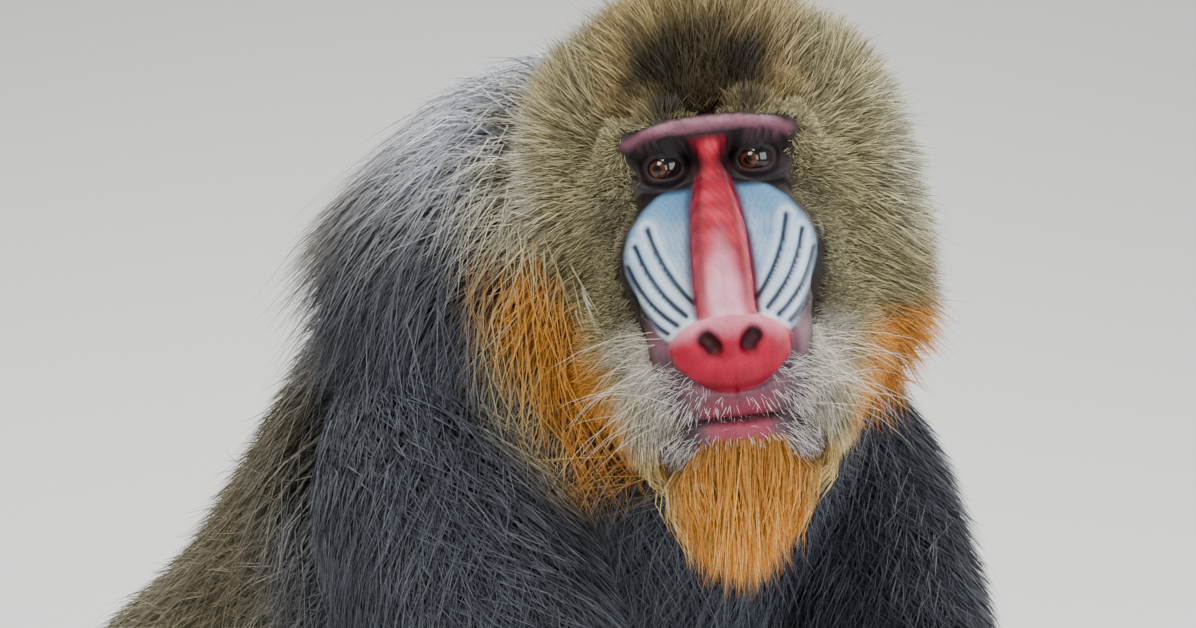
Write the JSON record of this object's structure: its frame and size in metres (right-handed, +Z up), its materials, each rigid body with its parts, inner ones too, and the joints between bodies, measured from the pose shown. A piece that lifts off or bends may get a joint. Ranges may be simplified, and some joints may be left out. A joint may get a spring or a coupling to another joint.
{
  "type": "mandrill",
  "caption": "Life-size still model of a male mandrill sitting on the floor, leaning on its hands, head turned to one side.",
  "frame": {"origin": "middle of the box round the animal, at the floor that it sits on", "axes": "+Z up, the trunk faces -Y, +X is the animal's left; the head is turned towards -X"},
  "size_m": [0.4478, 0.8748, 0.6232],
  "materials": {
    "head_coat": "grizzled olive-grey fur, tips yellow and black",
    "beard": "golden orange hair with pale edges",
    "body_coat": "olive-brown speckled fur, dark blue-grey on the shoulders",
    "limb_coat": "short olive-brown speckled fur",
    "face_skin": "bare skin, red nose, pale blue ridged swellings, dark round the eyes",
    "hand_skin": "bare dark skin of the palms and soles",
    "ear_skin": "bare pinkish-brown skin",
    "rump_skin": "bare skin of the seat, lilac, blue and red",
    "eye": "wet amber-brown iris round a dark pupil",
    "nail": "dark polished horn"
  },
  "bodies": {
    "root": {"head": "head_coat", "lower_jaw": "beard", "neck": "body_coat", "chest": "body_coat", "hips": "body_coat", "tail": "body_coat", "eye_left": "eye", "ear_left": "ear_skin", "upper_arm_left": "limb_coat", "forearm_left": "limb_coat", "thigh_left": "limb_coat", "shin_left": "limb_coat", "hand_left": "hand_skin", "foot_left": "hand_skin", "eye_right": "eye", "ear_right": "ear_skin", "upper_arm_right": "limb_coat", "forearm_right": "limb_coat", "thigh_right": "limb_coat", "shin_right": "limb_coat", "hand_right": "hand_skin", "foot_right": "hand_skin"}
  },
  "joints": []
}
